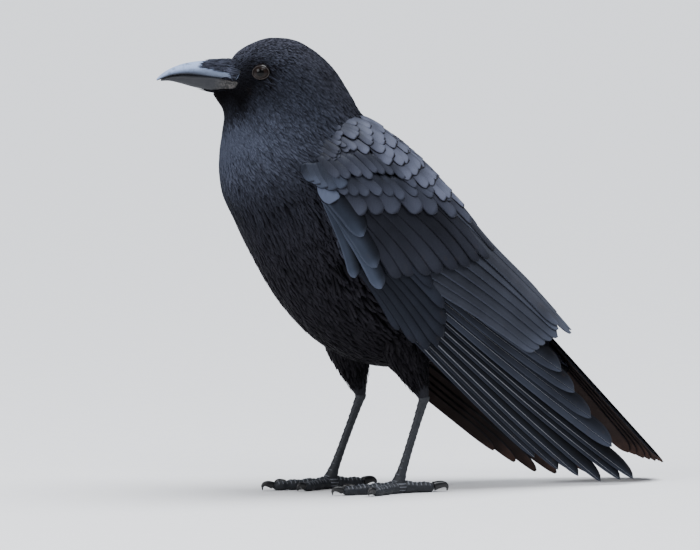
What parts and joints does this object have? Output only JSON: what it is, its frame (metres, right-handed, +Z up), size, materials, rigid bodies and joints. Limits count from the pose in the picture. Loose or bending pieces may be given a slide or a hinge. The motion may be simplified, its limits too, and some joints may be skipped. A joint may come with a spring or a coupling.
{
  "type": "carrion crow model",
  "caption": "Life-size still model of a carrion crow that stands upright on both feet with folded wings, a closed tail and its head turned to its right.",
  "frame": {"origin": "on the floor, under the middle of the whole bird's box", "axes": "+Z up, the bird's body faces -Y and its left side is +X"},
  "size_m": [0.1182, 0.3684, 0.3082],
  "materials": {
    "feather": "black with a faint blue-violet sheen",
    "bill": "smooth slate-grey horn",
    "eye": "glossy near-black",
    "scale": "scaly blackish grey",
    "claw": "smooth black horn"
  },
  "bodies": {
    "root": {"bill_lower": "bill", "bill_upper": "bill", "head": "feather", "left_eye": "eye", "left_foot": "scale", "left_hind_claw": "claw", "left_inner_claw": "claw", "left_middle_claw": "claw", "left_outer_claw": "claw", "left_shank": "scale", "left_thigh": "feather", "left_wing": "feather", "neck": "feather", "right_eye": "eye", "right_foot": "scale", "right_hind_claw": "claw", "right_inner_claw": "claw", "right_middle_claw": "claw", "right_outer_claw": "claw", "right_shank": "scale", "right_thigh": "feather", "right_wing": "feather", "tail": "feather", "trunk": "feather"}
  },
  "joints": []
}
